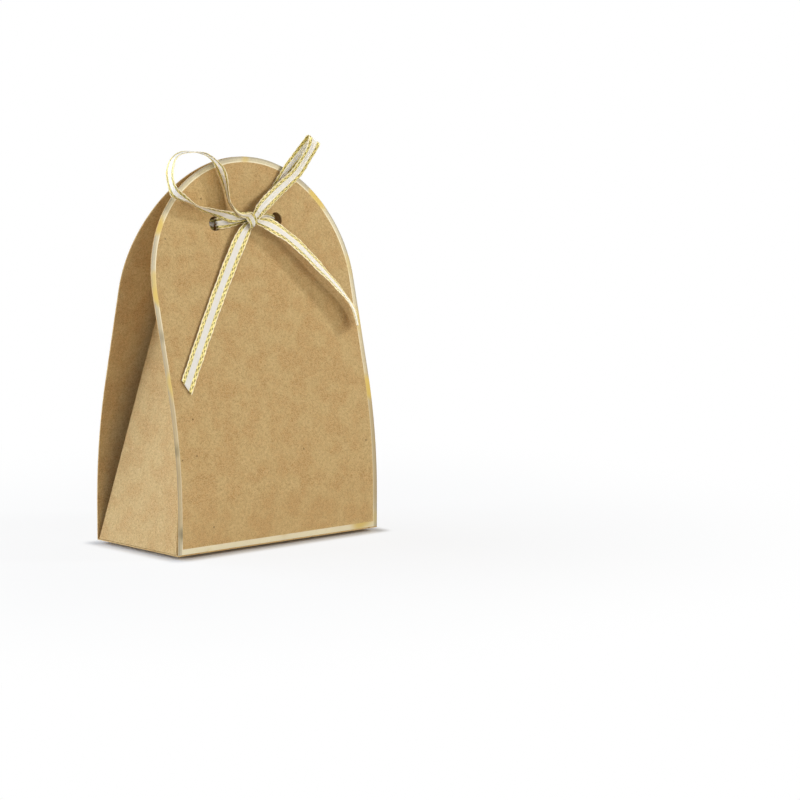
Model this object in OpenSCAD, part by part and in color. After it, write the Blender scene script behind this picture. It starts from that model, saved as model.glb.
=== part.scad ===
// Favor box of folded kraft card, held shut by a ribbon bow.
// The origin is at the middle of the base's underside. X runs along the front face,
// Y from the front to the back and Z up.

/* [Box] */
// Width of the box along its front face
box_w = 90; // [76:1:110]
// Depth of the box at its base
box_d = 45; // [38:1:54]
// Thickness of the card
card_t = 0.4; // [0.3:0.05:0.6]

/* [Front and back panels] */
// Length of a panel along the card, from its crease to its tip
panel_len = 134; // [126:1:150]
// Length of the straight foot above the crease
foot_len = 12; // [4:1:20]
// Length over which a panel bends in towards the middle
bend_len = 44; // [24:1:50]
// Length over which the tip bends back
tip_len = 25; // [12:1:30]
// Angle by which the tip bends back
tip_angle = 7; // [2:0.5:9]
// Space left between the two tips
tip_gap = 0.3; // [0.2:0.1:1]
// Space at a crease, between a flap and the base that it turns on
crease_gap = 0.05; // [0.02:0.01:0.1]

/* [Ribbon holes] */
// Diameter of a ribbon hole
hole_d = 5; // [4.8:0.1:7]
// Distance between the centres of the two holes in a panel
hole_spacing = 27.6; // [26.8:0.2:28.4]
// Distance from a panel's tip down to its line of holes
hole_drop = 22.5; // [16:0.5:30]

/* [Foil border] */
// Width of the foil border along a panel's edge
foil_w = 1.9; // [1:0.1:4]
// Thickness of the foil, sunk flush into the card
foil_t = 0.05; // [0.03:0.01:0.1]

/* [Gussets] */
// Length of a gusset along the card
gusset_len = 108; // [80:1:112]
// Width of a gusset's blunt tip
gusset_tip_w = 3; // [1:0.5:6]
// Angle by which a gusset leans in
gusset_lean = 10.5; // [8:0.5:13]
// Space between a gusset's foot and each panel
gusset_gap = 0.7; // [0.4:0.1:2]

/* [Ribbon] */
// Width of the ribbon
ribbon_w = 6; // [4:0.5:6]
// Thickness of the ribbon
ribbon_t = 0.3; // [0.2:0.05:0.4]
// Radius of each lobe of the knot
knot_r = 2.1; // [1.8:0.1:2.6]

/* [Hidden] */
kraft = "#c4a06c";
foil_gold = "#e0cf9a";
ribbon_cream = "#f2ead2";
// How far a cutting solid runs past what it cuts
overrun = 1;
hole_sides = 48;
arch_sides = 96;
knot_sides = 32;
// Steps along the bend and along the tip
bend_steps = 22;
tip_steps = 8;
// Halvings in the search for a panel's lean
search_steps = 40;
least_lean = 2;
most_lean = 45;

arch_r = box_w / 2;
hole_at = panel_len - hole_drop;
bend_end = foot_len + bend_len;
tip_start = panel_len - tip_len;
crease_z = card_t + crease_gap;
gusset_half = box_d / 2 - card_t - gusset_gap;
gusset_foot = card_t * tan(gusset_lean) + crease_gap;

// Radius of an arc that turns by an angle over a length
function arc_radius(length, angle) = length / (angle * PI / 180);

// Lean of the card away from upright at a distance s from the crease
function lean_at(s, lean) =
    s <= foot_len ? 0
    : s <= bend_end ? lean * (s - foot_len) / bend_len
    : s <= tip_start ? lean
    : lean - tip_angle * (s - tip_start) / tip_len;

// How far in and how far up the card's outer face lies at a distance s from the crease
function face_at(s, lean) =
    s <= foot_len ? [0, s]
    : s <= bend_end ? bend_point(lean_at(s, lean), arc_radius(bend_len, lean))
    : s <= tip_start ? straight_point(s, lean)
    : straight_point(tip_start, lean) + tip_offset(lean_at(s, lean), lean);
function bend_point(turned, r) = [r * (1 - cos(turned)), foot_len + r * sin(turned)];
function straight_point(s, lean) =
    bend_point(lean, arc_radius(bend_len, lean)) + (s - bend_end) * [sin(lean), cos(lean)];
function tip_offset(turned, lean) =
    arc_radius(tip_len, tip_angle) * [cos(turned) - cos(lean), sin(lean) - sin(turned)];

// The lean at which the inner face of the tip stops just short of the middle of the box
function tip_reach(lean) = face_at(panel_len, lean)[0] + card_t * cos(lean - tip_angle);
function find_lean(low, high, steps) =
    let (middle = (low + high) / 2)
    steps == 0 ? middle
    : tip_reach(middle) > (box_d - tip_gap) / 2 ? find_lean(low, middle, steps - 1)
    : find_lean(middle, high, steps - 1);
panel_lean = find_lean(least_lean, most_lean, search_steps);

// A point at a distance s from the crease and a depth behind the outer face
function card_point(s, depth) =
    let (turned = lean_at(s, panel_lean))
    face_at(s, panel_lean) + depth * [cos(turned), -sin(turned)];

// Distances from the crease at which the card's side view has a corner
function stations(extra) = concat(
    extra > 0 ? [-extra] : [],
    [0],
    [for (i = [0 : bend_steps]) foot_len + bend_len * i / bend_steps],
    [for (i = [0 : tip_steps]) tip_start + tip_len * i / tip_steps],
    extra > 0 ? [panel_len + extra] : []
);
function reversed(list) = [for (i = [len(list) - 1 : -1 : 0]) list[i]];

// A layer of the bent card between two depths, before its outline is cut
module card_layer(from, to, extra) {
    marks = stations(extra);
    side = concat(
        [for (s = marks) card_point(s, from)],
        reversed([for (s = marks) card_point(s, to)])
    );
    translate([-arch_r - extra, 0, 0])
        rotate([90, 0, 90])
        linear_extrude(box_w + 2 * extra)
        polygon(side);
}

// Moves its children to the card's outer face at a distance s from the crease
module on_card(s) {
    place = face_at(s, panel_lean);
    translate([0, place[0], place[1]])
        rotate([-lean_at(s, panel_lean), 0, 0])
        children();
}

// A prism with the panel's outline, drawn in from it by an inset
module outline_prism(inset) {
    r = arch_r - inset;
    on_card(panel_len - arch_r) {
        rotate([90, 0, 0])
            cylinder(r = r, h = 2 * box_d, center = true, $fn = arch_sides);
        translate([-r, -box_d, -panel_len])
            cube([2 * r, 2 * box_d, panel_len]);
    }
}

// The field inside the foil border
module border_field() {
    intersection() {
        outline_prism(foil_w);
        translate([-box_w, -box_d, foil_w])
            cube([2 * box_w, 2 * box_d, 2 * panel_len]);
    }
}

module foil_border() {
    difference() {
        intersection() {
            card_layer(0, foil_t, 0);
            outline_prism(0);
        }
        border_field();
    }
}

module panel() {
    difference() {
        intersection() {
            card_layer(0, card_t, 0);
            outline_prism(0);
        }
        difference() {
            card_layer(-overrun, foil_t, overrun);
            border_field();
        }
        on_card(hole_at)
            for (side = [-1, 1])
                translate([side * hole_spacing / 2, 0, 0])
                    rotate([90, 0, 0])
                    cylinder(d = hole_d, h = 2 * overrun, center = true, $fn = hole_sides);
    }
}

// Moves its children from a panel's crease to the front crease of the box
module at_front_crease() {
    translate([0, -box_d / 2, crease_z])
        children();
}

module at_back_crease() {
    mirror([0, 1, 0])
        at_front_crease()
        children();
}

module base_panel() {
    color(kraft)
        translate([-box_w / 2, -box_d / 2, 0])
        cube([box_w, box_d, card_t]);
}

module front_panel() {
    color(kraft)
        at_front_crease()
        panel();
}

module back_panel() {
    color(kraft)
        at_back_crease()
        panel();
}

module front_foil_border() {
    color(foil_gold)
        at_front_crease()
        foil_border();
}

module back_foil_border() {
    color(foil_gold)
        at_back_crease()
        foil_border();
}

// A gusset that leans in from the left end of the base
module gusset() {
    translate([-box_w / 2, 0, card_t])
        rotate([0, gusset_lean, 0])
        rotate([90, 0, 90])
        linear_extrude(card_t)
        polygon([
            [-gusset_half, gusset_foot],
            [gusset_half, gusset_foot],
            [gusset_tip_w / 2, gusset_len],
            [-gusset_tip_w / 2, gusset_len]
        ]);
}

module left_gusset() {
    color(kraft)
        gusset();
}

module right_gusset() {
    color(kraft)
        mirror([1, 0, 0])
        gusset();
}

// The ribbon's routes are measured from the middle of a panel's line of holes:
// across the panel, out from its face, and up along it. Each route has a list of
// the directions in which the ribbon's width lies, and a list of its width's shares.
knot_middle = [0.4, 3.4, 0.9];
knot_lobe_step = [0.4, 0, 0.5];

left_lead_route = [
    [-10, -3.8, 0], [-12.4, -1, 0], [-13, 0.3, 0], [-12.2, 0.6, 0], [-9, 0.8, 0.1],
    [-5, 1.1, 0.3], [-1, 1.8, 0.8]
];
left_lead_widths = [
    [0, 0, 1], [0, 0, 1], [0, 0, 1], [0, 0, 1], [0, 0, 1], [0, 0.1, 1], [0, 0.1, 1]
];
left_lead_shares = [0.65, 0.65, 0.65, 0.68, 0.68, 0.5, 0.4];

right_lead_route = [
    [12.4, -3.8, 0.3], [12.4, -1, 0.3], [12.1, 0.3, 0.4], [10, 0.9, 1.1], [7.5, 1.1, 1.2],
    [4.5, 1.4, 1.1], [1.4, 1.9, 1]
];
right_lead_widths = [
    [0, 0, 1], [0, 0, 1], [0, 0, 1], [0, 0, 1], [0, 0, 1], [0, 0.1, 1], [0, 0.1, 1]
];
right_lead_shares = [0.4, 0.4, 0.4, 0.4, 0.45, 0.5, 0.5];

back_strand_route = [
    [-10, -3.8, 0], [-12.4, -1, 0], [-13, 0.3, 0], [-9.5, 1.2, 0], [0, 1.3, 0],
    [9.5, 1.2, 0], [12.1, 0.3, 0.2], [12.4, -1, 0.3], [12.4, -3.8, 0.3]
];
back_strand_widths = [for (p = back_strand_route) [0, 0, 1]];
back_strand_shares = [0.65, 0.65, 0.65, 0.95, 1, 0.95, 0.5, 0.45, 0.4];

left_loop_route = [
    [-1.5, 2.8, 0.9], [-5.5, 2.8, 0.7], [-9.4, 3.4, 1.5], [-12.9, 3.6, 2.7],
    [-17.8, 3.3, 4.2], [-23.8, 3.3, 6.5], [-29.2, 3.5, 9.1], [-32.2, 3.8, 11.4],
    [-33.5, 4, 15], [-33.3, 4.3, 19], [-31.2, 4.4, 22.5], [-27.5, 4.4, 24.3],
    [-22.9, 4.4, 24.7], [-18, 4.2, 24], [-14.1, 4.1, 22], [-11.3, 4, 19], [-9.9, 3.7, 15],
    [-9.1, 3.3, 10.5], [-8.8, 3.2, 7.1], [-7.5, 3.6, 4.3], [-5.9, 5.1, 2.2],
    [-1.2, 4.6, 1.7]
];
left_loop_widths = [
    [-0.1, 0.4, 0.9], [-0.1, 0.3, 0.9], [-0.4, 0.7, 0.6], [-0.5, 0.8, 0.4],
    [-0.5, 0.8, 0.2], [-0.6, 0.8, 0], [-0.4, 0.9, 0.2], [-0.2, 0.9, 0.3], [-0.2, 1, 0.1],
    [-0.2, 1, 0], [-0.2, 1, -0.1], [-0.2, 1, -0.2], [-0.2, 1, -0.2], [-0.2, 1, -0.2],
    [-0.2, 1, -0.2], [-0.2, 1, -0.2], [-0.2, 1, -0.2], [-0.4, 0.9, -0.2],
    [-0.5, 0.8, -0.1], [-0.5, 0.9, 0], [-0.4, 0.9, 0.1], [0, 0.8, 0.6]
];
left_loop_shares = [
    0.4, 0.42, 0.8, 0.95, 1, 1, 1, 1, 1, 1, 1, 1, 1, 1, 1, 1, 1, 1, 1, 0.85, 0.5, 0.45
];

right_loop_route = [
    [1.8, 2.6, 1], [5.4, 2.1, 3.9], [9.8, 1.1, 6.8], [14, 1, 10.2], [19.7, 1.8, 16.4],
    [23.5, 2.1, 19.7], [28.2, 2.9, 23.7], [29.9, 4.1, 25.5], [30.7, 5.2, 26.5],
    [31, 6.4, 26.4], [30.2, 7.1, 25.3], [29.2, 6.6, 23.2], [27.1, 5.5, 20.2],
    [22.7, 4, 15.2], [15.6, 3.1, 10.6], [8.7, 3.6, 6.5], [2.4, 4.6, 2.5]
];
right_loop_widths = [
    [-0.7, 0.1, 0.7], [-0.7, 0, 0.7], [-0.7, 0, 0.7], [-0.7, 0, 0.7], [-0.7, 0, 0.7],
    [-0.7, 0, 0.6], [-0.7, 0, 0.6], [-0.8, 0, 0.6], [-0.8, 0, 0.6], [-0.8, 0, 0.6],
    [-0.8, 0, 0.6], [-0.8, 0, 0.6], [-0.7, 0, 0.6], [-0.7, 0.1, 0.7], [-0.7, 0.1, 0.7],
    [-0.8, 0.1, 0.6], [-0.8, 0.1, 0.6]
];
right_loop_shares = [
    0.5, 0.6, 0.62, 0.62, 0.65, 0.72, 0.78, 0.86, 0.95, 1, 0.9, 0.78, 0.72, 0.78, 0.8,
    0.85, 0.75
];

left_tail_route = [
    [-0.5, 2.2, -1.4], [-3, 2.3, -3.6], [-7.5, 1.9, -9.5], [-14.5, 1.2, -20],
    [-21, 1.1, -29.7], [-27.9, 1.2, -40.2], [-37.4, 1.3, -55.1]
];
left_tail_widths = [
    [0.8, 0, -0.6], [0.8, 0, -0.5], [0.8, 0, -0.6], [0.8, 0, -0.6], [0.8, 0, -0.6],
    [0.8, 0, -0.6], [0.8, 0, -0.6]
];
left_tail_shares = [0.45, 0.85, 1, 1, 1, 1, 1];

right_tail_route = [
    [1.5, 3.8, -0.3], [3.5, 4.1, -1.1], [6.5, 4.3, -2.2], [9.6, 4.3, -3.8],
    [13.5, 4.4, -6.3], [19, 4.7, -11], [25, 5, -17.3], [31, 5.1, -23.7], [36, 4.9, -29.3],
    [39.3, 4.6, -34.5], [40.3, 4.3, -40]
];
right_tail_widths = [
    [0.2, 0.1, 1], [0.4, 0.1, 0.9], [0.7, -0.1, 0.7], [0.8, -0.2, 0.6], [0.9, -0.3, 0.4],
    [0.9, -0.3, 0.3], [0.9, -0.4, 0.3], [0.8, -0.5, 0.2], [0.8, -0.6, 0.1], [0.8, -0.6, 0],
    [0.8, -0.6, 0]
];
right_tail_shares = [0.45, 0.55, 0.85, 0.95, 1, 1, 1, 1, 1, 1, 1];

function unit(v) = v / norm(v);

// Turns across, out and up into the axes of the card's face
function on_face(p) = [p[0], -p[1], p[2]];

// The four corners of the ribbon's section at one point of its route
function ribbon_ring(route, widths, shares, i) =
    let (
        ahead = on_face(route[min(i + 1, len(route) - 1)] - route[max(i - 1, 0)]),
        along = unit(ahead),
        wide = on_face(widths[i]),
        across = unit(wide - (wide * along) * along),
        through = cross(along, across),
        half_w = across * ribbon_w * shares[i] / 2,
        half_t = through * ribbon_t / 2,
        middle = on_face(route[i])
    )
    [middle + half_w + half_t, middle + half_w - half_t,
     middle - half_w - half_t, middle - half_w + half_t];

// A flat ribbon along a route, as one closed strip
module ribbon(route, widths, shares) {
    last = len(route) - 1;
    corners = [for (i = [0 : last]) each ribbon_ring(route, widths, shares, i)];
    // Both broad walls are split along the same diagonal, so a twist keeps its thickness
    walls = [
        for (i = [0 : last - 1], j = [0 : 3])
            let (a = 4 * i + j, b = 4 * i + (j + 1) % 4)
            each j == 3
                ? [[a, b + 4, a + 4], [a, b, b + 4]]
                : [[a, b, a + 4], [b, b + 4, a + 4]]
    ];
    first_end = [[0, 2, 1], [0, 3, 2]];
    last_end = [for (f = first_end) [f[0], f[2], f[1]] + 4 * last * [1, 1, 1]];
    color(ribbon_cream)
        polyhedron(points = corners, faces = concat(walls, first_end, last_end));
}

// Moves its children to the middle of the front panel's line of holes
module at_front_holes() {
    at_front_crease()
        on_card(hole_at)
        children();
}

module ribbon_knot() {
    color(ribbon_cream)
        at_front_holes()
        for (side = [-1, 1])
            translate(on_face(knot_middle + side * knot_lobe_step))
                sphere(r = knot_r, $fn = knot_sides);
}

module ribbon_left_lead() {
    at_front_holes()
        ribbon(left_lead_route, left_lead_widths, left_lead_shares);
}

module ribbon_right_lead() {
    at_front_holes()
        ribbon(right_lead_route, right_lead_widths, right_lead_shares);
}

module ribbon_back_strand() {
    mirror([0, 1, 0])
        at_front_holes()
        ribbon(back_strand_route, back_strand_widths, back_strand_shares);
}

module ribbon_left_loop() {
    at_front_holes()
        ribbon(left_loop_route, left_loop_widths, left_loop_shares);
}

module ribbon_right_loop() {
    at_front_holes()
        ribbon(right_loop_route, right_loop_widths, right_loop_shares);
}

module ribbon_left_tail() {
    at_front_holes()
        ribbon(left_tail_route, left_tail_widths, left_tail_shares);
}

module ribbon_right_tail() {
    at_front_holes()
        ribbon(right_tail_route, right_tail_widths, right_tail_shares);
}

base_panel();
front_panel();
back_panel();
left_gusset();
right_gusset();
front_foil_border();
back_foil_border();
ribbon_knot();
ribbon_left_lead();
ribbon_right_lead();
ribbon_back_strand();
ribbon_left_loop();
ribbon_right_loop();
ribbon_left_tail();
ribbon_right_tail();
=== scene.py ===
"""Looks of a kraft card favor box tied with a satin ribbon, in metres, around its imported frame."""

import math

import bpy
import numpy as np
from mathutils import Matrix, Vector


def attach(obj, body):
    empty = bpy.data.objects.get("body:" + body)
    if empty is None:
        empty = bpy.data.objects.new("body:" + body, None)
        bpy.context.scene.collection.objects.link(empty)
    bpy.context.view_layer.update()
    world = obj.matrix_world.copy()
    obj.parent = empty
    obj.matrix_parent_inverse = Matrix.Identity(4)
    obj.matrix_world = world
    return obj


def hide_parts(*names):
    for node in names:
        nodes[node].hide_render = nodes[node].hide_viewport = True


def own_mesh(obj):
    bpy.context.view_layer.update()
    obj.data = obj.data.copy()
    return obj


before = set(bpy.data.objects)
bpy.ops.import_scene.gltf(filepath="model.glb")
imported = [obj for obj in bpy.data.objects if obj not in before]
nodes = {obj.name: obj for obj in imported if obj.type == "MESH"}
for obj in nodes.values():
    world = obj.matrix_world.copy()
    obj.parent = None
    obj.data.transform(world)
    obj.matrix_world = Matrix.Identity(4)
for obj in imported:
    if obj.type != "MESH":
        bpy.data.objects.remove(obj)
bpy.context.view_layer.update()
MM = 0.001


def put_in_scene(name, data):
    """A new object in the scene, made of a mesh, a light or a camera."""
    made = bpy.data.objects.new(name, data)
    bpy.context.scene.collection.objects.link(made)
    return made


# ---- Camera ----
# Fitted to the corners, the edges and the ribbon holes of the box in the photograph.

CAMERA_TARGET = Vector((0, 0, 0.070))
CAMERA_DISTANCE = 1.2210
CAMERA_AZIMUTH, CAMERA_ELEVATION = math.radians(39.579), math.radians(6.790)
CAMERA_YAW, CAMERA_PITCH, CAMERA_ROLL = (math.radians(a) for a in (42.249, -7.848, 0.208))
LENS_MM, SENSOR_MM = 157.5, 36


def heading(turn, tilt):
    """A direction: turned from +Y towards +X by one angle, and tilted up by the other."""
    return Vector((math.sin(turn) * math.cos(tilt), math.cos(turn) * math.cos(tilt), math.sin(tilt)))


def add_camera():
    away = -heading(CAMERA_AZIMUTH, -CAMERA_ELEVATION)
    ahead = heading(CAMERA_YAW, CAMERA_PITCH)
    level = Vector((math.cos(CAMERA_YAW), -math.sin(CAMERA_YAW), 0))
    upright = level.cross(ahead)
    right = math.cos(CAMERA_ROLL) * level + math.sin(CAMERA_ROLL) * upright
    up = math.cos(CAMERA_ROLL) * upright - math.sin(CAMERA_ROLL) * level
    camera = put_in_scene("camera", bpy.data.cameras.new("camera"))
    camera.data.lens, camera.data.sensor_width = LENS_MM, SENSOR_MM
    turn = Matrix((right, up, -ahead)).transposed().to_4x4()
    camera.matrix_world = Matrix.Translation(CAMERA_TARGET + away * CAMERA_DISTANCE) @ turn
    bpy.context.scene.camera = camera


add_camera()


# ---- Panels ----
# In millimetres. A panel's line of holes lies so far in from the crease, so far up and so
# far over from upright. Above it the panel is straight, with its arch round one centre.

HALF_WIDTH, HALF_DEPTH = 45.0, 22.5
HOLE_LINE_IN, HOLE_LINE_UP = 18.1643, 110.0003
HOLE_LINE_LEAN = math.radians(12.848)
ARCH_R, ARCH_OUT, ARCH_UP = 45.0, 9.592, 88.123
ARCH_LEAN = math.radians(13.548)


# ---- Ribbon routes ----
# Measured in millimetres from the middle of a panel's line of holes: across the panel, out
# from its face, and up along it. Each row is a point, the direction in which the ribbon's
# width lies there, and the share of the width that isn't gathered.

# Width of the strip without the small loops along its edges, and of the whole ribbon
RIBBON_W, CORD_WIDTH = 5.7, 6.0

LEFT_LEAD = [
    ((-10, -3.8, 0), (0, 0, 1), 0.65), ((-12.4, -1, 0), (0, 0, 1), 0.65), ((-13, 0.3, 0), (0, 0, 1), 0.65),
    ((-12.2, 0.6, 0), (0, 0, 1), 0.68), ((-9, 0.8, 0.1), (0, 0, 1), 0.68), ((-5, 1.1, 0.3), (0, 0.1, 1), 0.5),
    ((-1, 1.8, 0.8), (0, 0.1, 1), 0.4),
]
RIGHT_LEAD = [
    ((12.4, -3.8, 0.3), (0, 0, 1), 0.4), ((12.4, -1, 0.3), (0, 0, 1), 0.4),
    ((12.1, 0.3, 0.4), (0, 0, 1), 0.4),
    ((10, 0.9, 1.1), (0, 0, 1), 0.4), ((7.5, 1.1, 1.2), (0, 0, 1), 0.45), ((4.5, 1.4, 1.1), (0, 0.1, 1), 0.5),
    ((1.4, 1.9, 1), (0, 0.1, 1), 0.5),
]
BACK_STRAND = [
    ((-10, -3.8, 0), (0, 0, 1), 0.65), ((-12.4, -1, 0), (0, 0, 1), 0.65), ((-13, 0.3, 0), (0, 0, 1), 0.65),
    ((-9.5, 1.2, 0), (0, 0, 1), 0.95), ((0, 1.3, 0), (0, 0, 1), 1), ((9.5, 1.2, 0), (0, 0, 1), 0.95),
    ((12.1, 0.3, 0.2), (0, 0, 1), 0.5), ((12.4, -1, 0.3), (0, 0, 1), 0.45),
    ((12.4, -3.8, 0.3), (0, 0, 1), 0.4),
]
LEFT_LOOP = [
    ((-1.5, 2.8, 0.9), (-0.1, 0.4, 0.9), 0.4), ((-5.5, 2.8, 0.7), (-0.1, 0.3, 0.9), 0.42),
    ((-9.4, 3.4, 1.5), (-0.4, 0.7, 0.6), 0.8), ((-12.9, 3.6, 2.7), (-0.5, 0.8, 0.4), 0.95),
    ((-17.8, 3.3, 4.2), (-0.5, 0.8, 0.2), 1), ((-23.8, 3.3, 6.5), (-0.6, 0.8, 0), 1),
    ((-29.2, 3.5, 9.1), (-0.4, 0.9, 0.2), 1), ((-32.2, 3.8, 11.4), (-0.2, 0.9, 0.3), 1),
    ((-33.5, 4, 15), (-0.2, 1, 0.1), 1), ((-33.3, 4.3, 19), (-0.2, 1, 0), 1),
    ((-31.2, 4.4, 22.5), (-0.2, 1, -0.1), 1), ((-27.5, 4.4, 24.3), (-0.2, 1, -0.2), 1),
    ((-22.9, 4.4, 24.7), (-0.2, 1, -0.2), 1), ((-18, 4.2, 24), (-0.2, 1, -0.2), 1),
    ((-14.1, 4.1, 22), (-0.2, 1, -0.2), 1), ((-11.3, 4, 19), (-0.2, 1, -0.2), 1),
    ((-9.9, 3.7, 15), (-0.2, 1, -0.2), 1), ((-9.1, 3.3, 10.5), (-0.4, 0.9, -0.2), 1),
    ((-8.8, 3.2, 7.1), (-0.5, 0.8, -0.1), 1), ((-7.5, 3.6, 4.3), (-0.5, 0.9, 0), 0.85),
    ((-5.9, 5.1, 2.2), (-0.4, 0.9, 0.1), 0.5), ((-1.2, 4.6, 1.7), (0, 0.8, 0.6), 0.45),
]
RIGHT_LOOP = [
    ((1.8, 2.6, 1), (-0.7, 0.1, 0.7), 0.5), ((5.4, 2.1, 3.9), (-0.7, 0, 0.7), 0.6),
    ((9.8, 1.1, 6.8), (-0.7, 0, 0.7), 0.62), ((14, 1, 10.2), (-0.7, 0, 0.7), 0.62),
    ((19.7, 1.8, 16.4), (-0.7, 0, 0.7), 0.65), ((23.5, 2.1, 19.7), (-0.7, 0, 0.6), 0.72),
    ((28.2, 2.9, 23.7), (-0.7, 0, 0.6), 0.78), ((29.9, 4.1, 25.5), (-0.8, 0, 0.6), 0.86),
    ((30.7, 5.2, 26.5), (-0.8, 0, 0.6), 0.95), ((31, 6.4, 26.4), (-0.8, 0, 0.6), 1),
    ((30.2, 7.1, 25.3), (-0.8, 0, 0.6), 0.9), ((29.2, 6.6, 23.2), (-0.8, 0, 0.6), 0.78),
    ((27.1, 5.5, 20.2), (-0.7, 0, 0.6), 0.72), ((22.7, 4, 15.2), (-0.7, 0.1, 0.7), 0.78),
    ((15.6, 3.1, 10.6), (-0.7, 0.1, 0.7), 0.8), ((8.7, 3.6, 6.5), (-0.8, 0.1, 0.6), 0.85),
    ((2.4, 4.6, 2.5), (-0.8, 0.1, 0.6), 0.75),
]
LEFT_TAIL = [
    ((-0.5, 2.2, -1.4), (0.8, 0, -0.6), 0.45), ((-3, 2.3, -3.6), (0.8, 0, -0.5), 0.85),
    ((-7.5, 1.9, -9.5), (0.8, 0, -0.6), 1), ((-14.5, 1.2, -20), (0.8, 0, -0.6), 1),
    ((-21, 1.1, -29.7), (0.8, 0, -0.6), 1), ((-27.9, 1.2, -40.2), (0.8, 0, -0.6), 1),
    ((-37.4, 1.3, -55.1), (0.8, 0, -0.6), 1),
]
RIGHT_TAIL = [
    ((1.5, 3.8, -0.3), (0.2, 0.1, 1), 0.45), ((3.5, 4.1, -1.1), (0.4, 0.1, 0.9), 0.55),
    ((6.5, 4.3, -2.2), (0.7, -0.1, 0.7), 0.85), ((9.6, 4.3, -3.8), (0.8, -0.2, 0.6), 0.95),
    ((13.5, 4.4, -6.3), (0.9, -0.3, 0.4), 1), ((19, 4.7, -11), (0.9, -0.3, 0.3), 1),
    ((25, 5, -17.3), (0.9, -0.4, 0.3), 1), ((31, 5.1, -23.7), (0.8, -0.5, 0.2), 1),
    ((36, 4.9, -29.3), (0.8, -0.6, 0.1), 1), ((39.3, 4.6, -34.5), (0.8, -0.6, 0), 1),
    ((40.3, 4.3, -40), (0.8, -0.6, 0), 1),
]
# The wrap goes once round the knot, over its front from the upper left to the lower right
WRAP_ACROSS, WRAP_OUT = -0.5, 3.0
WRAP_TILT, WRAP_DEPTH, WRAP_HEIGHT = 1.0, 1.5, 2.2
WRAP_TURNS = [math.radians(30 * i - 90) for i in range(14)]
KNOT_WRAP = [
    (
        (
            WRAP_ACROSS - WRAP_TILT * math.sin(turn),
            WRAP_OUT + WRAP_DEPTH * math.cos(turn),
            WRAP_HEIGHT * math.sin(turn),
        ),
        (0.9, 0, 0.45), 0.7,
    )
    for turn in WRAP_TURNS
]
KNOT_CROSSING = [
    ((-2.2, 3.3, 0.2), (-0.2, 0.2, 1), 0.5), ((-0.8, 3.7, 0.4), (-0.2, 0.2, 1), 0.5),
    ((0.8, 4.1, 0.9), (-0.6, 0.1, 0.8), 0.6), ((3.2, 4.7, 3.2), (-0.8, 0.1, 0.6), 0.76),
]


def on_panel(points, back=False):
    """Points measured from a panel's line of holes, as points in the row frame in metres."""
    across, out, up = np.asarray(points, float).T
    lean_cos, lean_sin = math.cos(HOLE_LINE_LEAN), math.sin(HOLE_LINE_LEAN)
    y = -HALF_DEPTH + HOLE_LINE_IN - out * lean_cos + up * lean_sin
    z = HOLE_LINE_UP + out * lean_sin + up * lean_cos
    return np.stack([across, -y if back else y, z], 1) * MM


def through_points(values, steps):
    """A smooth curve through rows of values, with as many steps in each stretch as steps says."""
    values = np.asarray(values, float)
    padded = np.concatenate([2 * values[:1] - values[1:2], values, 2 * values[-1:] - values[-2:-1]])
    rows = []
    for i, count in enumerate(steps):
        a, b, c, d = padded[i:i + 4]
        t = (np.arange(count) / count)[:, None]
        rows.append(0.5 * (
            2 * b + (c - a) * t + (2 * a - 5 * b + 4 * c - d) * t**2 + (3 * (b - c) + d - a) * t**3
        ))
    return np.concatenate([*rows, values[-1:]])


def unit_rows(rows):
    return rows / np.linalg.norm(rows, axis=1, keepdims=True)


# ---- Ribbon strips ----
# Lengths in millimetres. Places across a strip are shares of its half width.

STRIP_STEP = 0.25
SATIN_HALF, BAND_RAMP, EDGE_FROM = 0.41, 0.06, 0.99
HALF_SHARES = np.array([0, 0.14, 0.27, 0.41, 0.45, 0.52, 0.64, 0.74, 0.84, 0.93, 1])
CROSS_SHARES = np.concatenate([-HALF_SHARES[:0:-1], HALF_SHARES])
SATIN_THICK, GOLD_THICK, EDGE_THICK = 0.07, 0.10, 0.05
# Slanted stitches in the gold bands, and small loops along the edges
STITCH_PITCH, STITCH_RISE, STITCH_SLANT = 2.2, 0.03, 2.2
PICOT_PITCH, PICOT_REACH, PICOT_LAG = 2.8, 0.08, 1.3
# Folds where the ribbon is gathered, its slow ripple, and the length that a slanted cut takes up
PLEAT_DEPTH, PLEATS = 0.9, 3
RIPPLE_PITCH = 11
CUT_REACH = 8


def strip_rows(route):
    """Rows along a strip: its middle, the directions ahead, across and through, its shares and distances."""
    points, widths, shares = (np.array([row[k] for row in route], float) for k in range(3))
    gaps = np.linalg.norm(np.diff(points, axis=0), axis=1)
    steps = [max(2, int(math.ceil(g / STRIP_STEP))) for g in gaps]
    centre = through_points(points, steps)
    wide = through_points(unit_rows(widths), steps)
    share = through_points(shares[:, None], steps)[:, 0]
    ahead = unit_rows(np.gradient(centre, axis=0))
    across = unit_rows(wide - (wide * ahead).sum(1)[:, None] * ahead)
    through = np.cross(ahead, across)
    along = np.concatenate([[0], np.cumsum(np.linalg.norm(np.diff(centre, axis=0), axis=1))])
    return centre, ahead, across, through, share, along


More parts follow.
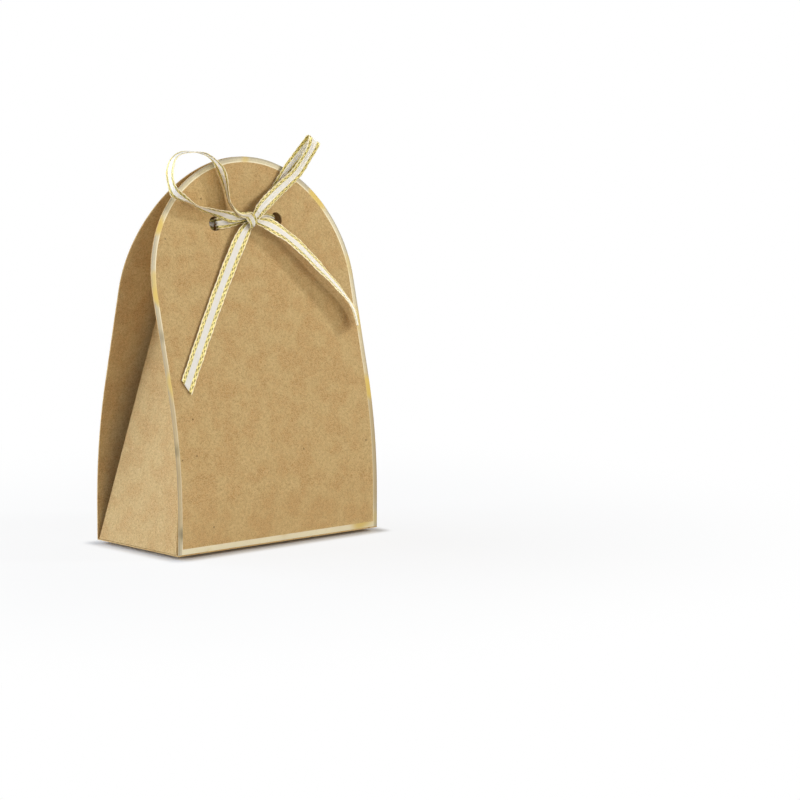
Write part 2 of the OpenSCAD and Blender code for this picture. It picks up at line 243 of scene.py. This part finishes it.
def strip_sheets(route, cut, wave):
    """The corners of a strip's upper and lower sheets, its middle line and the distances along it."""
    centre, ahead, across, through, share, along = strip_rows(route)
    u, v = CROSS_SHARES, along[:, None]
    gold = np.clip((np.abs(u) - SATIN_HALF) / BAND_RAMP, 0, 1)
    edge = np.abs(u) > EDGE_FROM
    thick = np.where(edge, EDGE_THICK, SATIN_THICK + (GOLD_THICK - SATIN_THICK) * gold)
    stitch = STITCH_RISE * gold * np.sin(2 * math.pi * (v / STITCH_PITCH + u * STITCH_SLANT))
    picot = PICOT_REACH * edge * np.sin(2 * math.pi * v / PICOT_PITCH + PICOT_LAG * np.sign(u))
    half = RIBBON_W / 2 * share[:, None]
    sideways = u * half + np.sign(u) * picot
    pleat = PLEAT_DEPTH * (1 - share[:, None]) * np.cos(PLEATS * math.pi * u)
    ripple = wave * np.sin(2 * math.pi * v / RIPPLE_PITCH) * u
    slant = cut * u * half * np.clip(1 - (along[-1] - v) / CUT_REACH, 0, 1)
    sheets = []
    for side in (1, -1):
        lift = pleat + ripple + side * (thick + stitch)
        sheets.append(
            centre[:, None] + sideways[..., None] * across[:, None]
            + lift[..., None] * through[:, None] + slant[..., None] * ahead[:, None]
        )
    return np.stack(sheets), centre, along


def strip_faces(rings, columns):
    """The faces of a strip's two sheets, and of the rim that closes them."""
    index = np.arange(2 * rings * columns).reshape(2, rings, columns)
    upper, lower = (
        np.stack([sheet[:-1, :-1], sheet[1:, :-1], sheet[1:, 1:], sheet[:-1, 1:]], -1).reshape(-1, 4)
        for sheet in index
    )
    sides = [index[:, :, 0], index[:, -1, 1:], index[:, ::-1, -1][:, 1:], index[:, 0, ::-1][:, 1:]]
    rim = np.concatenate(sides, 1)
    rim = np.stack([rim[0, :-1], rim[0, 1:], rim[1, 1:], rim[1, :-1]], -1)
    return np.concatenate([upper[:, [0, 3, 2, 1]], lower, rim])


def ribbon_strip(name, route, back=False, cut=0.0, wave=0.0):
    """A woven ribbon along a route: a satin middle between two thicker gold bands with small loops.

    wave is the depth of its slow ripple. cut slants its far end: the width's positive side
    runs on by cut times half the width. The middle line and its length in millimetres come with it.
    """
    sheets, centre, along = strip_sheets(route, cut, wave)
    rings, columns = sheets.shape[1:3]
    faces = strip_faces(rings, columns)
    if back:
        faces = faces[:, ::-1]
    mesh = bpy.data.meshes.new(name)
    mesh.from_pydata(on_panel(sheets.reshape(-1, 3), back).tolist(), [], faces.tolist())
    weave = np.zeros((2, rings, columns, 3), np.float32)
    weave[..., 0], weave[..., 1] = CROSS_SHARES, along[:, None]
    mesh.attributes.new("weave", "FLOAT_VECTOR", "POINT").data.foreach_set("vector", weave.ravel())
    mesh.shade_smooth()
    mesh.validate()
    return put_in_scene(name, mesh), on_panel(centre, back), along[-1]


def join(pieces, name):
    """Several objects as one, under a new name."""
    with bpy.context.temp_override(active_object=pieces[0], selected_editable_objects=pieces):
        bpy.ops.object.join()
    pieces[0].name = name
    return pieces[0]


left_loop, left_loop_path, left_loop_length = ribbon_strip("bow_left_loop", LEFT_LOOP, wave=0.15)
right_loop, right_loop_path, right_loop_length = ribbon_strip("bow_right_loop", RIGHT_LOOP, wave=0.1)
left_tail, left_tail_path, left_tail_length = ribbon_strip("bow_left_tail", LEFT_TAIL, cut=0.5, wave=0.12)
right_tail, right_tail_path, right_tail_length = ribbon_strip("bow_right_tail", RIGHT_TAIL, cut=0.1, wave=0.1)
left_lead, _, _ = ribbon_strip("ribbon_lead_left", LEFT_LEAD)
right_lead, _, _ = ribbon_strip("ribbon_lead_right", RIGHT_LEAD)
back_strand, _, _ = ribbon_strip("ribbon_behind_back_panel", BACK_STRAND, back=True)
wrap, _, _ = ribbon_strip("bow_knot_wrap", KNOT_WRAP)
crossing, _, _ = ribbon_strip("bow_knot_crossing", KNOT_CROSSING)
knot = join([wrap, crossing], "bow_knot")

RIBBON_PIECES = {
    left_loop: "ribbon_left_loop",
    right_loop: "ribbon_right_loop",
    left_tail: "ribbon_left_tail",
    right_tail: "ribbon_right_tail",
    left_lead: "ribbon_left_lead",
    right_lead: "ribbon_right_lead",
    back_strand: "ribbon_back_strand",
    knot: "ribbon_knot",
}
for piece, node in RIBBON_PIECES.items():
    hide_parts(node)
    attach(piece, "back_panel" if piece is back_strand else "front_panel")

CORDS = [
    (left_loop, left_loop_path, left_loop_length, "object"),
    (right_loop, right_loop_path, right_loop_length, "object"),
    (left_tail, left_tail_path, left_tail_length, "bare"),
    (right_tail, right_tail_path, right_tail_length, "bare"),
]
for piece, path, length, far_end in CORDS:
    length * MM
    path[::4].tolist() + [path[-1].tolist()]


# ---- The bow's pieces get meshes of their own ----

for piece in (left_loop, right_loop, left_tail, right_tail, left_lead, right_lead, knot):
    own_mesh(piece)


# ---- Shader nodes ----

# Colours as they show on screen: red, green and blue, 0 to 255
TONES = {
    "kraft": (193, 152, 96),
    "kraft cloud": (203, 173, 118),
    "kraft mottle": (162, 127, 74),
    "kraft grain": (230, 200, 148),
    "dark fibre": (152, 116, 68),
    "pale fibre": (226, 196, 150),
    "dark speck": (92, 70, 46),
    "champagne foil": (212, 200, 168),
    "dull foil": (188, 176, 148),
    "brushed foil": (176, 164, 136),
    # Painted shade along the foil's outer edge, and a painted highlight along its inner one
    "painted shade on foil outer edge": (158, 150, 132),
    "painted highlight on foil inner edge": (238, 227, 194),
    "low foil": (174, 144, 92),
    # Painted gold and dark reflections on the foil
    "painted gold reflection on foil": (208, 178, 88),
    "painted dark reflection on foil": (104, 96, 68),
    "satin": (255, 248, 234),
    "satin thread": (249, 239, 220),
    # Painted highlights on the gold thread
    "gold thread": (212, 188, 104),
    "painted highlight on gold thread": (242, 226, 146),
    "gold rib": (196, 178, 110),
    "selvage": (248, 232, 194),
    "dark stitch": (98, 90, 34),
    "floor": (240, 240, 240),
}
WHITE = (1, 1, 1, 1)


def tone(name):
    """One of the tones as Blender's linear colour."""
    shown = (c / 255 for c in TONES[name])
    return (*(c / 12.92 if c <= 0.04045 else ((c + 0.055) / 1.055) ** 2.4 for c in shown), 1)


class Wire:
    """A shader socket's output. Arithmetic on it adds Math nodes."""

    def __init__(self, bench, socket):
        self.bench, self.socket = bench, socket

    def math(self, operation, *others):
        return self.bench.node("Math", {"operation": operation}, dict(enumerate((self, *others))))

    def __add__(self, other):
        return self.math("ADD", other)

    def __sub__(self, other):
        return self.math("SUBTRACT", other)

    def __rsub__(self, other):
        return self.bench.node("Math", {"operation": "SUBTRACT"}, {0: other, 1: self})

    def __mul__(self, other):
        return self.math("MULTIPLY", other)

    def __truediv__(self, other):
        return self.math("DIVIDE", other)

    def __pow__(self, other):
        return self.math("POWER", other)

    def __abs__(self):
        return self.math("ABSOLUTE")

    __radd__, __rmul__ = __add__, __mul__

    def at_least(self, other):
        return self.math("MAXIMUM", other)

    def sine(self):
        return self.math("SINE")

    def between(self, low, high):
        """0 below low and 1 above high, smooth between them."""
        return self.bench.node(
            "MapRange", {"interpolation_type": "SMOOTHSTEP"},
            {"Value": self, "From Min": low, "From Max": high},
        )


class Bench:
    """The nodes of a finish or of the backdrop."""

    def __init__(self, tree):
        self.tree = tree

    def node(self, kind, settings=None, sockets=None, output=0):
        """Adds a node with its settings, then gives its sockets their values or wires."""
        made = self.tree.nodes.new("ShaderNode" + kind)
        for key, value in (settings or {}).items():
            setattr(made, key, value)
        for key, value in (sockets or {}).items():
            self.feed(made.inputs[key], value)
        return Wire(self, made.outputs[output]) if made.outputs else None

    def feed(self, socket, value):
        if isinstance(value, Wire):
            self.tree.links.new(value.socket, socket)
        else:
            socket.default_value = value

    def seen(self):
        """1 for the camera, reflections and what shows through clear matter, 0 for plain light."""
        camera, glossy, clear = (
            self.node("LightPath", output=ray)
            for ray in ("Is Camera Ray", "Is Glossy Ray", "Is Transmission Ray")
        )
        return camera.at_least(glossy).at_least(clear)


class Finish(Bench):
    """A material for a surface of the box or its ribbon, and its nodes."""

    def __init__(self, name, **uniform):
        self.material = bpy.data.materials.new(name)
        self.material.use_nodes = True
        super().__init__(self.material.node_tree)
        self.surface = self.tree.nodes["Principled BSDF"]
        self.set(**uniform)

    def set(self, **values):
        """Gives the surface's own sockets their values or wires."""
        for socket, value in values.items():
            self.feed(self.surface.inputs[socket.replace("_", " ")], value)

    def mix(self, share, first, second):
        """A colour between two colours."""
        return self.node("Mix", {"data_type": "RGBA"}, {0: share, 6: first, 7: second}, 2)

    def place(self):
        return self.node("TexCoord", output="Object")

    def noise(self, place, scale, stretch=(1, 1, 1), turn=(0, 0, 0), detail=2.0, rough=0.5):
        """Noise with scale cells per metre, or as many each way as stretch says, after a turn."""
        moved = self.node("Mapping", {"vector_type": "TEXTURE"}, {"Vector": place, "Rotation": turn})
        moved = self.node("VectorMath", {"operation": "MULTIPLY"}, {0: moved, 1: stretch})
        cells = {"Vector": moved, "Scale": scale, "Detail": detail, "Roughness": rough}
        return self.node("TexNoise", {}, cells)

    def parts(self, vector):
        """The three parts of a vector."""
        split = self.node("SeparateXYZ", {}, {0: vector}).socket.node
        return [Wire(self, output) for output in split.outputs]

    def bump(self, height, distance, strength):
        return self.node("Bump", {}, {"Height": height, "Distance": distance, "Strength": strength})


# ---- Kraft card ----
# Cells of its patterns per metre, where each starts and ends in its noise, and how much it shows.

CLOUD_CELLS, CLOUD_SPAN = 160, (0.35, 0.65)
MOTTLE_CELLS, MOTTLE_SPAN, MOTTLE_SHARE = 1100, (0.3, 0.7), 0.6
GRAIN_CELLS, GRAIN_SPAN, GRAIN_SHARE = 3200, (0.35, 0.65), 0.55
FIBRE_LONG, FIBRE_FINE, FIBRE_SPAN, FIBRE_SHARE = 900, 3600, (0.6, 0.74), 0.4
SPECK_CELLS, SPECK_SPAN, SPECK_SHARE = 170, (0.03, 0.075), 0.75
SPECKED_CELLS = (0.80, 0.82)
CARD_RELIEF = 0.00005


def kraft_card():
    """Unbleached kraft card: short fibres, a fine grain, faint clouds and a dark speck here and there."""
    finish = Finish("kraft_card", IOR=1.4, Specular_IOR_Level=0.2)
    place = finish.place()
    clouds = finish.noise(place, CLOUD_CELLS)
    mottle = finish.noise(place, MOTTLE_CELLS, rough=0.6)
    grain = finish.noise(place, GRAIN_CELLS, rough=0.7)
    lengthways = finish.noise(
        place, 1, stretch=(FIBRE_LONG, FIBRE_LONG, FIBRE_FINE), turn=(0.3, math.radians(28), 0.2)
    )
    crossways = finish.noise(
        place, 1, stretch=(FIBRE_FINE, FIBRE_LONG, FIBRE_LONG), turn=(-0.2, math.radians(14), 0.3)
    )
    cells = {"Vector": place, "Scale": SPECK_CELLS}
    from_middle = finish.node("TexVoronoi", {}, cells, "Distance")
    kind, _, _ = finish.parts(finish.node("TexVoronoi", {}, cells, "Color"))
    speck = (1 - from_middle.between(*SPECK_SPAN)) * kind.between(*SPECKED_CELLS)
    body = finish.mix(clouds.between(*CLOUD_SPAN), tone("kraft"), tone("kraft cloud"))
    body = finish.mix(mottle.between(*MOTTLE_SPAN) * MOTTLE_SHARE, body, tone("kraft mottle"))
    body = finish.mix(grain.between(*GRAIN_SPAN) * GRAIN_SHARE, body, tone("kraft grain"))
    body = finish.mix(lengthways.between(*FIBRE_SPAN) * FIBRE_SHARE, body, tone("dark fibre"))
    body = finish.mix(crossways.between(*FIBRE_SPAN) * FIBRE_SHARE, body, tone("pale fibre"))
    body = finish.mix(speck * SPECK_SHARE, body, tone("dark speck"))
    relief = mottle * 0.5 + grain * 0.5 + lengthways * 0.5 - crossways * 0.3
    finish.set(Base_Color=body, Roughness=0.72 + grain * 0.16, Normal=finish.bump(relief, CARD_RELIEF, 0.5))
    return finish.material


# ---- Gold foil ----
# The bands of its border in metres in from the panel's edge, the outer one of painted shade and the
# inner one of a painted highlight, and the heights at which it turns warmer. The rest is as for the card.

OUTER_SHADE_BAND, OUTER_SHADE_SHARE = (0.0002, 0.0009), 0.7
INNER_HIGHLIGHT_BAND, INNER_HIGHLIGHT_SHARE = (0.0013, 0.0017), 0.7
ABOVE_FOOT, BELOW_WAIST, WARM_SHARE = (0.002, 0.012), (0.035, 0.095), 0.45
SWEEP_CELLS, SWEEP_SPAN = 42, (0.42, 0.62)
BRUSH_FINE, BRUSH_LONG, BRUSH_SPAN, BRUSH_SHARE = 2600, 500, (0.3, 0.7), 0.45
# Painted gold and dark reflections on the foil
PAINTED_GLINT_CELLS, PAINTED_GOLD_REFLECTION, PAINTED_GOLD_REFLECTION_SHARE = 75, (0.55, 0.68), 0.85
PAINTED_DARK_REFLECTION, PAINTED_DARK_REFLECTION_SHARE = (0.22, 0.31), 0.75
FOIL_GRAIN_CELLS, FOIL_RELIEF = 1800, 0.00003


def gold_foil():
    """Brushed champagne foil, warmer low down, with painted shade along its outer edge, a painted highlight
    along its inner one, and painted gold and dark reflections.
    """
    finish = Finish("gold_foil", IOR=1.4, Specular_IOR_Level=0.3, Metallic=0.25)
    place = finish.place()
    side, depth, height = finish.parts(place)
    upwards = (height - ARCH_UP * MM) * math.cos(ARCH_LEAN)
    rise = upwards - (abs(depth) - ARCH_OUT * MM) * math.sin(ARCH_LEAN)
    inset = ARCH_R * MM - (side**2 + rise.at_least(0.0) ** 2) ** 0.5
    grain = finish.noise(place, FOIL_GRAIN_CELLS)
    brushed = finish.noise(
        place, 1, stretch=(BRUSH_FINE, BRUSH_FINE, BRUSH_LONG), turn=(0.2, math.radians(35), 0)
    )
    sweep = finish.noise(place, SWEEP_CELLS, detail=1)
    glint = finish.noise(place, PAINTED_GLINT_CELLS, detail=1, rough=0.3)
    low = height.between(*ABOVE_FOOT) * (1 - height.between(*BELOW_WAIST))
    body = finish.mix(sweep.between(*SWEEP_SPAN), tone("champagne foil"), tone("dull foil"))
    body = finish.mix(brushed.between(*BRUSH_SPAN) * BRUSH_SHARE, body, tone("brushed foil"))
    # Painted shade along the outer edge, and a painted highlight along the inner one
    body = finish.mix((1 - inset.between(*OUTER_SHADE_BAND)) * OUTER_SHADE_SHARE, body, tone("painted shade on foil outer edge"))
    body = finish.mix(inset.between(*INNER_HIGHLIGHT_BAND) * INNER_HIGHLIGHT_SHARE, body, tone("painted highlight on foil inner edge"))
    body = finish.mix(low * WARM_SHARE, body, tone("low foil"))
    # Painted reflections, gold and dark, in patches over the foil
    body = finish.mix(glint.between(*PAINTED_GOLD_REFLECTION) * PAINTED_GOLD_REFLECTION_SHARE, body, tone("painted gold reflection on foil"))
    body = finish.mix((1 - glint.between(*PAINTED_DARK_REFLECTION)) * PAINTED_DARK_REFLECTION_SHARE, body, tone("painted dark reflection on foil"))
    relief = finish.bump(grain * 0.5 + brushed, FOIL_RELIEF, 0.4)
    finish.set(Base_Color=body, Roughness=0.42 + grain * 0.16, Normal=relief)
    return finish.material


# ---- Satin ribbon ----
# Places across the ribbon are shares of its half width, and pitches are in millimetres.

SATIN_END, BAND_START = SATIN_HALF - 0.02, SATIN_HALF + 0.03
SELVAGE = (0.86, 0.92)
INNER_ROW, OUTER_ROW, ROW_HALF, ROW_SPAN = 0.54, 0.74, 0.08, (0.0, 0.4)
STITCH_SPAN, STITCH_SHARE = (0.0, 0.45), 0.9
THREADS, THREAD_SHARE = 140, 0.4
RIB_PITCH, RIB_SHARE = 0.55, 0.25
# Cells of the painted highlights on the gold thread, and where they start and end in their noise
THREAD_PAINTED_GLINT_CELLS, THREAD_PAINTED_GLINT_SPAN = 1700, (0.35, 0.65)
RIBBON_RELIEF = 0.00006


def stitches(spread, steps, row, lag):
    """A row of short stitches along both gold bands, at a share of the half width."""
    beat = (steps + lag).sine().between(*STITCH_SPAN)
    near = 1 - abs((spread - row) / ROW_HALF)
    return beat * near.between(*ROW_SPAN)


def woven_ribbon():
    """Cream satin that lets light through, between two bands of pale gold thread with dark stitches and
    painted highlights.
    """
    finish = Finish(
        "satin_ribbon", Sheen_Weight=0.1, Sheen_Roughness=0.4, Subsurface_Weight=0.25,
        Subsurface_Radius=(1.0, 0.8, 0.5), Subsurface_Scale=0.0012,
    )
    across, along, _ = finish.parts(finish.node("Attribute", {"attribute_name": "weave"}, output="Vector"))
    spread = abs(across)
    gold = spread.between(SATIN_END, BAND_START)
    steps = along * (2 * math.pi / STITCH_PITCH)
    stitched = stitches(spread, steps, INNER_ROW, 0.0) + stitches(spread, steps, OUTER_ROW, math.pi)
    glint = finish.noise(finish.place(), THREAD_PAINTED_GLINT_CELLS, detail=1)
    thread = (across * THREADS).sine() * 0.5 + 0.5
    rib = (along * (2 * math.pi / RIB_PITCH)).sine() * 0.5 + 0.5
    satin = finish.mix(thread * THREAD_SHARE, tone("satin"), tone("satin thread"))
    # Painted highlights on the gold thread
    band = finish.mix(glint.between(*THREAD_PAINTED_GLINT_SPAN), tone("gold thread"), tone("painted highlight on gold thread"))
    band = finish.mix(rib * RIB_SHARE, band, tone("gold rib"))
    band = finish.mix(spread.between(*SELVAGE), band, tone("selvage"))
    band = finish.mix(stitched * STITCH_SHARE, band, tone("dark stitch"))
    relief = thread * (1 - gold) * 0.4 + gold * (rib + glint - stitched)
    finish.set(
        Base_Color=finish.mix(gold, satin, band),
        Metallic=gold * 0.2,
        Roughness=0.46 - gold * 0.06 + glint * 0.1,
        Normal=finish.bump(relief, RIBBON_RELIEF, 0.5),
    )
    return finish.material


# ---- Finishes on the pieces ----

kraft, foil, satin_ribbon = kraft_card(), gold_foil(), woven_ribbon()
FINISHES = {
    "base_panel": kraft,
    "front_panel": kraft,
    "back_panel": kraft,
    "left_gusset": kraft,
    "right_gusset": kraft,
    "front_foil_border": foil,
    "back_foil_border": foil,
}
for node, finish in FINISHES.items():
    nodes[node].data.materials.clear()
    nodes[node].data.materials.append(finish)
for piece in RIBBON_PIECES:
    piece.data.materials.clear()
    piece.data.materials.append(satin_ribbon)


# ---- Floor, backdrop and lights ----

FLOOR_RADIUS, FLOOR_CORNERS, FLOOR_Z = 2.5, 64, -0.0012
# How white the camera sees the floor, from the box's foot outwards: a thin dark line of contact,
# then a faint haze. Distances in metres.
CONTACT_SPAN, CONTACT_SHARE = (0.0005, 0.006), 0.86
HAZE_SPAN, HAZE_SHARE = (0.02, 0.2), 0.14
AMBIENT = 0.10
BOX_MIDDLE = Vector((0, 0, 0.07))
# Each light's name, the way to it from the box, its distance and width in metres, its strength and its colour
LIGHTS = [
    ("key_light", (1.0, -0.864, 0.71), 1.5, 0.30, 7.1, (0.98, 1.0, 1.02)),
    ("top_light", (-0.1, -0.6, 1.0), 0.5, 0.4, 0.15, (1, 1, 1)),
    ("front_light", (0.2, -1.0, 0.15), 1.8, 1.4, 11.6, (1.05, 1.0, 0.88)),
    ("left_front_light", (-0.8, -0.6, 0.3), 1.2, 0.7, 1.9, (1, 1, 1)),
    ("left_back_light", (-0.8, 0.5, 0.2), 1.2, 0.7, 8.8, (0.9, 1.0, 1.15)),
    ("right_light", (0.95, 0.2, 0.35), 1.2, 0.7, 2.8, (1, 1, 1)),
    ("back_light", (-0.3, 0.9, 0.5), 1.2, 0.9, 7.6, (0.92, 1.0, 1.15)),
]


def add_floor():
    """A round pale floor that the camera sees as white, apart from part of the object's shadow."""
    mesh = bpy.data.meshes.new("floor")
    turns = np.linspace(0, 2 * math.pi, FLOOR_CORNERS, endpoint=False)
    rim = [(FLOOR_RADIUS * math.cos(a), FLOOR_RADIUS * math.sin(a), FLOOR_Z) for a in turns]
    mesh.from_pydata(rim, [], [range(FLOOR_CORNERS)])
    floor = put_in_scene("floor", mesh)
    finish = Finish("pale_floor", Base_Color=tone("floor"), Roughness=0.9, Specular_IOR_Level=0.0)
    side, depth, _ = finish.parts(finish.place())
    beside = (abs(side) - HALF_WIDTH * MM).at_least(0.0)
    before = (abs(depth) - HALF_DEPTH * MM).at_least(0.0)
    away = (beside**2 + before**2) ** 0.5
    pale = CONTACT_SHARE * away.between(*CONTACT_SPAN) + HAZE_SHARE * away.between(*HAZE_SPAN)
    lit = Wire(finish, finish.surface.outputs[0])
    white = finish.node("Emission", {}, {"Color": WHITE, "Strength": 1.0})
    shown = finish.node("MixShader", {}, {0: finish.seen() * pale, 1: lit, 2: white})
    finish.feed(finish.tree.nodes["Material Output"].inputs["Surface"], shown)
    mesh.materials.append(finish.material)


def add_backdrop():
    """A backdrop that is white to the camera and in reflections, and gives plain light from all around."""
    world = bpy.data.worlds.new("backdrop")
    bpy.context.scene.world = world
    world.use_nodes = True
    world.node_tree.nodes.clear()
    bench = Bench(world.node_tree)
    glow = bench.node("Background", {}, {"Color": WHITE, "Strength": AMBIENT})
    white = bench.node("Background", {}, {"Color": WHITE, "Strength": 1.0})
    shown = bench.node("MixShader", {}, {0: bench.seen(), 1: glow, 2: white})
    bench.node("OutputWorld", {}, {"Surface": shown})


def add_light(name, way, distance, width, power, colour):
    lamp = bpy.data.lights.new(name, "AREA")
    lamp.shape, lamp.size, lamp.energy, lamp.color = "DISK", width, power, colour
    light = put_in_scene(name, lamp)
    way = Vector(way).normalized()
    light.location = BOX_MIDDLE + way * distance
    light.rotation_mode = "QUATERNION"
    light.rotation_quaternion = way.to_track_quat("Z", "Y")


add_floor()
add_backdrop()
for light in LIGHTS:
    add_light(*light)
bpy.context.scene.view_settings.view_transform = "Standard"
